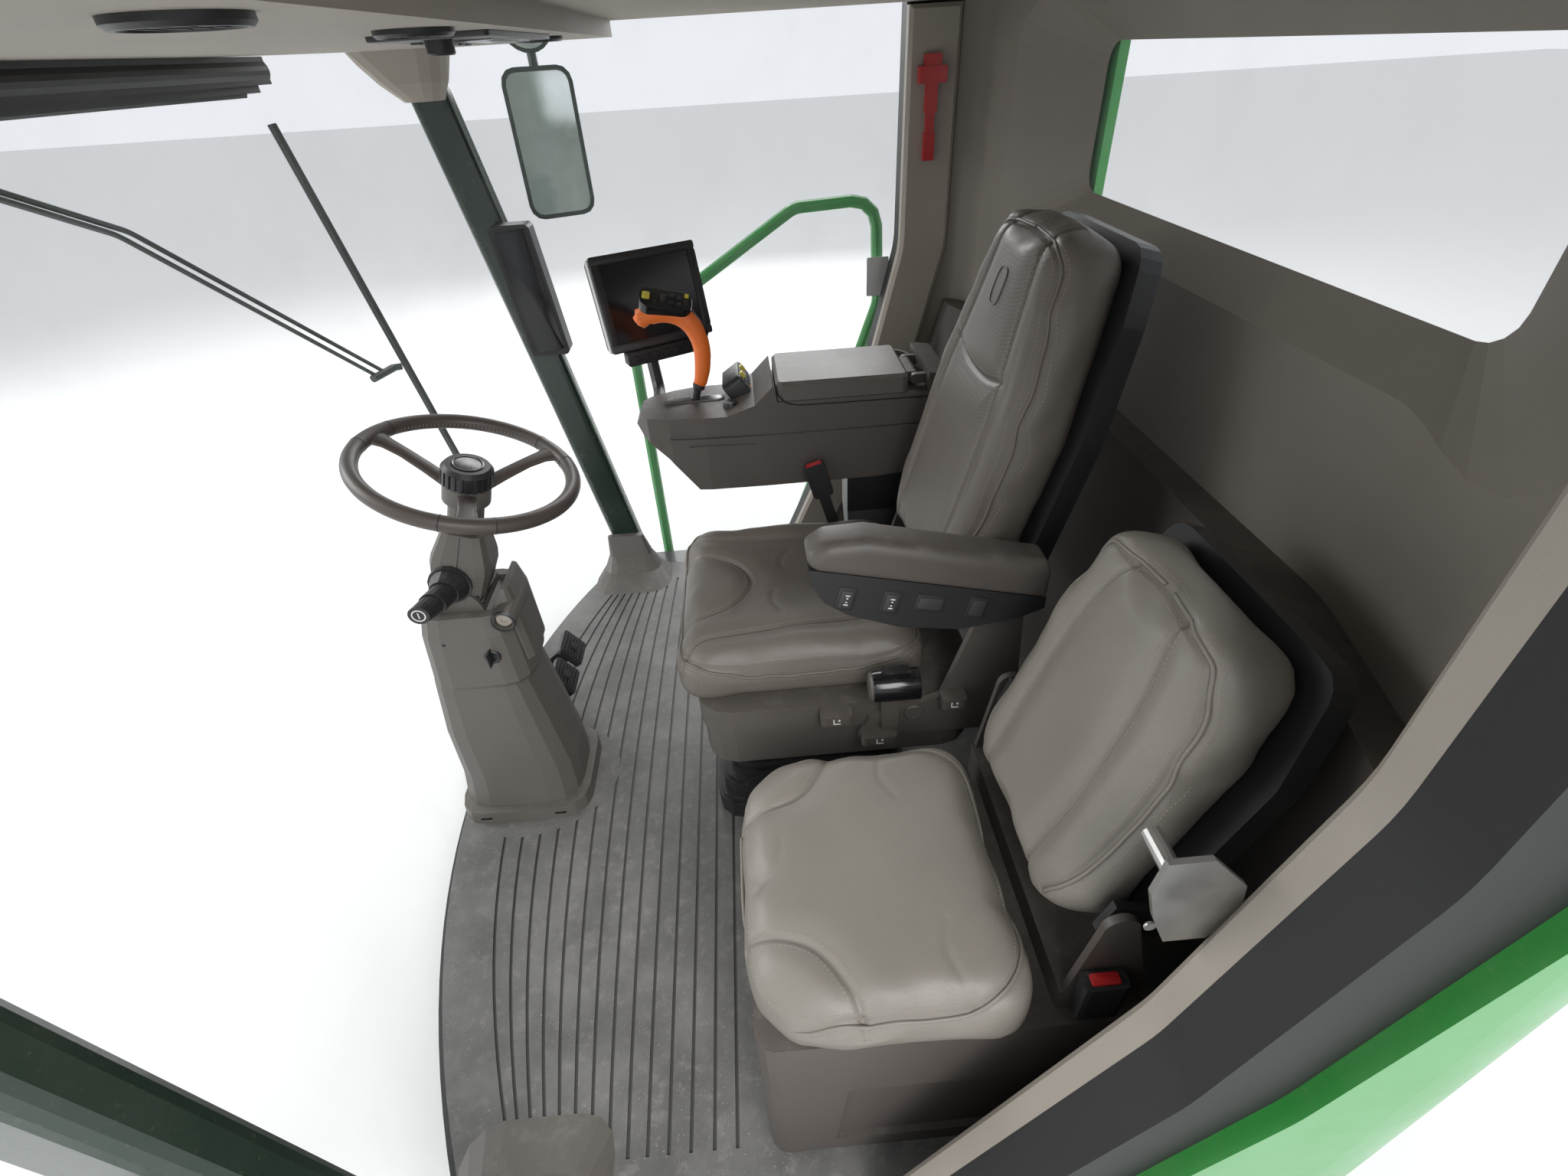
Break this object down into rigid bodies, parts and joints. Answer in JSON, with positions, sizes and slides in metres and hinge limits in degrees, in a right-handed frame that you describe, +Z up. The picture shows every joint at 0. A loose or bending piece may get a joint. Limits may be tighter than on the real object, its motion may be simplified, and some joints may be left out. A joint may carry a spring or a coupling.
{
  "type": "combine harvester operator's cab",
  "caption": "Bolt-on operator's cab of a combine harvester, with its left door open on a swivelling seat, a side console, an instructor's seat and a tilting steering column.",
  "frame": {"origin": "middle of the four isolator bolts, at the underside of the base frame", "axes": "+X points forward, to the windscreen; +Y points left, to the door; +Z points up"},
  "size_m": [2.1561, 3.6516, 1.91],
  "materials": {
    "chassis_black": "satin",
    "green_paint": "gloss",
    "light_liner": "fine grain, matte",
    "taupe_plastic": "grained, matte",
    "grey_plastic": "grained, matte",
    "black_plastic": "satin",
    "seat_leather": "fine grained, satin",
    "mat_rubber": "ribbed, matte",
    "roof_fabric": "matte",
    "clear_glass": "polished, faint green",
    "lamp_glass": "polished",
    "mirror_face": "polished",
    "bright_steel": "zinc plated",
    "red_plastic": "gloss"
  },
  "bodies": {
    "cab": {"base_frame": "chassis_black", "floor_pan": "chassis_black", "front_posts": "chassis_black", "rear_posts": "chassis_black", "rear_wall": "chassis_black", "rear_liner": "light_liner", "rear_glass": "clear_glass", "quarter_panels": "green_paint", "post_trims": "light_liner", "shelf_cover": "taupe_plastic", "windscreen": "clear_glass", "right_glass": "clear_glass", "roof_ring": "chassis_black", "headliner": "roof_fabric", "roof_shell": "green_paint", "hinge_arms": "chassis_black", "floor_mat": "mat_rubber", "post_boots": "grey_plastic", "column_pedestal": "grey_plastic", "pedals": "black_plastic", "seat_suspension": "black_plastic", "buddy_base": "taupe_plastic", "buddy_cushion": "seat_leather", "buddy_buckle": "black_plastic", "roof_console": "light_liner", "sun_blind": "black_plastic", "work_lamps": "lamp_glass", "mirrors": "black_plastic", "mirror_glass": "mirror_face", "wipers": "black_plastic", "side_rail": "green_paint", "grab_rail": "chassis_black", "door_striker": "bright_steel", "hammer": "red_plastic", "post_display": "black_plastic"},
    "door": {"door_frame": "chassis_black", "door_glass": "clear_glass", "door_handle": "black_plastic"},
    "column_top": {"column_head": "black_plastic", "stalk": "black_plastic"},
    "wheel": {"steering_wheel": "black_plastic", "wheel_hub": "grey_plastic", "hub_cap": "black_plastic"},
    "seat": {"seat_tray": "taupe_plastic", "seat_cushion": "seat_leather", "seat_brackets": "taupe_plastic", "seat_controls": "taupe_plastic", "right_console": "taupe_plastic", "console_arm": "black_plastic", "drive_lever": "black_plastic", "monitor": "black_plastic", "seat_buckle": "black_plastic"},
    "backrest": {"back_cushion": "seat_leather", "back_shell": "black_plastic"},
    "left_armrest": {"armrest": "black_plastic", "armrest_pad": "taupe_plastic"},
    "lid": {"console_lid": "grey_plastic"},
    "folding_back": {"buddy_shell": "black_plastic", "buddy_back": "seat_leather"}
  },
  "joints": [
    {"name": "door_hinge", "type": "hinge", "parent": "cab", "child": "door", "pos_m": [0.79, 1.01, 0.93], "axis": [0, 0, 1], "range_deg": [0, 100]},
    {"name": "column_tilt", "type": "hinge", "parent": "cab", "child": "column_top", "pos_m": [0.61156, 0, 0.71], "axis": [0, 1, 0], "range_deg": [-12, 8]},
    {"name": "wheel_turn", "type": "hinge", "parent": "column_top", "child": "wheel", "pos_m": [0.518, 0, 0.988], "axis": [-0.319, 0, 0.9478], "continuous": true},
    {"name": "seat_swivel", "type": "hinge", "parent": "cab", "child": "seat", "pos_m": [-0.07, 0, 0.48], "axis": [0, 0, 1], "range_deg": [0, 16]},
    {"name": "seat_recline", "type": "hinge", "parent": "seat", "child": "backrest", "pos_m": [-0.375, 0, 0.75], "axis": [0, 1, 0], "range_deg": [-6, 12]},
    {"name": "armrest_fold", "type": "hinge", "parent": "seat", "child": "left_armrest", "pos_m": [-0.396, 0.3, 0.842], "axis": [0, -1, 0], "range_deg": [0, 90]},
    {"name": "lid_hinge", "type": "hinge", "parent": "seat", "child": "lid", "pos_m": [-0.365, -0.4135, 0.956], "axis": [0, -1, 0], "range_deg": [0, 75]},
    {"name": "back_fold", "type": "hinge", "parent": "cab", "child": "folding_back", "pos_m": [-0.38, 0.582, 0.718], "axis": [0, 1, 0], "range_deg": [0, 100]}
  ]
}
